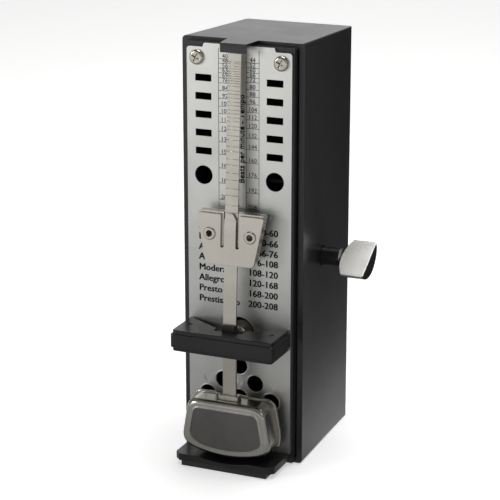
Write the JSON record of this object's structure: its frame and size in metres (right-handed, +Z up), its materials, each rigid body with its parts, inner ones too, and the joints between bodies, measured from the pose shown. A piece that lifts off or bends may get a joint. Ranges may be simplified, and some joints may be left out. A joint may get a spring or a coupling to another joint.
{
  "type": "metronome",
  "caption": "Pocket wind-up metronome: black tapering case, satin metal tempo scale, swinging rod with sliding weight, lower counterweight and side winding key.",
  "frame": {"origin": "Middle of the underside of the case, on the surface that the metronome stands on", "axes": "X to the object's right seen from the front (the winding key's side), Y from the scale to the back, Z up"},
  "size_m": [0.0535, 0.061, 0.13],
  "materials": {
    "black_case": "satin, very finely textured moulded black",
    "black_moulding": "smooth satin-gloss moulded black",
    "plate_metal": "satin bead-blasted sheet with printed scale",
    "nickel_metal": "satin nickel plate",
    "rod_metal": "lengthwise brushed spring strip",
    "counterweight_metal": "satin chrome over cast metal",
    "key_metal": "brushed sheet with polished edges",
    "movement_brass": "plain machined brass",
    "movement_steel": "turned steel"
  },
  "bodies": {
    "frame": {"case_sleeve": "black_case", "front_chassis": "black_moulding", "scale_plate": "plate_metal", "plate_screw_left": "nickel_metal", "plate_screw_right": "nickel_metal", "pendulum_bridge": "black_moulding", "base_foot": "black_moulding", "movement_plate_left": "movement_brass", "movement_plate_right": "movement_brass", "movement_pillar_1": "movement_steel", "movement_pillar_2": "movement_steel", "movement_pillar_3": "movement_steel", "movement_pillar_4": "movement_steel", "movement_screw_1": "movement_steel", "movement_screw_2": "movement_steel", "movement_screw_3": "movement_steel", "movement_screw_4": "movement_steel", "rear_strap": "movement_brass", "rear_bush": "movement_steel", "front_bush": "nickel_metal", "escape_potence": "movement_brass", "click_screw": "movement_steel", "click_spring": "movement_steel"},
    "pendulum": {"pendulum_arbor": "movement_steel", "pendulum_hub": "nickel_metal", "pendulum_fork": "black_moulding", "pallet_front": "movement_steel", "pallet_rear": "movement_steel", "counterweight_arm": "rod_metal", "counterweight": "counterweight_metal", "counterweight_backplate": "counterweight_metal", "counterweight_clip": "rod_metal"},
    "rod": {"pendulum_rod": "rod_metal"},
    "tempo_weight": {"weight_face": "nickel_metal", "weight_block": "nickel_metal", "weight_eyelet_left": "nickel_metal", "weight_eyelet_right": "nickel_metal"},
    "winding_key": {"key_core": "black_moulding", "key_cap": "key_metal", "winding_arbor": "movement_steel", "ratchet_wheel": "movement_steel"},
    "click": {"click_pawl": "movement_steel"},
    "barrel": {"spring_barrel": "movement_brass", "barrel_cover": "movement_brass", "mainspring": "movement_steel"},
    "second_train": {"second_arbor": "movement_steel", "second_pinion": "movement_steel", "second_wheel": "movement_brass"},
    "escape": {"escape_arbor": "movement_steel", "escape_pinion": "movement_steel", "crown_wheel": "movement_brass"}
  },
  "joints": [
    {"name": "pendulum_swing", "type": "hinge", "parent": "frame", "child": "pendulum", "pos_m": [0, -0.0322, 0.041], "axis": [0, 1, 0], "range_deg": [-28, 28]},
    {"name": "rod_release", "type": "hinge", "parent": "pendulum", "child": "rod", "pos_m": [0, -0.0322, 0.043], "axis": [1, 0, 0], "range_deg": [0, 3.2]},
    {"name": "weight_slide", "type": "slide", "parent": "rod", "child": "tempo_weight", "axis": [0, 0.0523, 0.9986], "range_m": [0, 0.0436]},
    {"name": "key_turn", "type": "hinge", "parent": "frame", "child": "winding_key", "pos_m": [0, -0.004, 0.0618], "axis": [1, 0, 0], "continuous": true},
    {"name": "click_pivot", "type": "hinge", "parent": "frame", "child": "click", "pos_m": [0, 0.00023, 0.05385], "axis": [1, 0, 0], "range_deg": [0, 8], "stiffness_Nm_per_rad": 0.002},
    {"name": "barrel_spin", "type": "hinge", "parent": "frame", "child": "barrel", "pos_m": [0, -0.004, 0.0618], "axis": [1, 0, 0], "continuous": true},
    {"name": "second_spin", "type": "hinge", "parent": "frame", "child": "second_train", "pos_m": [0, 0.00232, 0.04875], "axis": [1, 0, 0], "continuous": true},
    {"name": "escape_spin", "type": "hinge", "parent": "frame", "child": "escape", "pos_m": [0, -0.004, 0.041], "axis": [1, 0, 0], "continuous": true}
  ],
  "couplings": [
    {"joint": "second_spin", "follows": "escape_spin", "ratio": -0.25},
    {"joint": "barrel_spin", "follows": "escape_spin", "ratio": 0.052083}
  ]
}
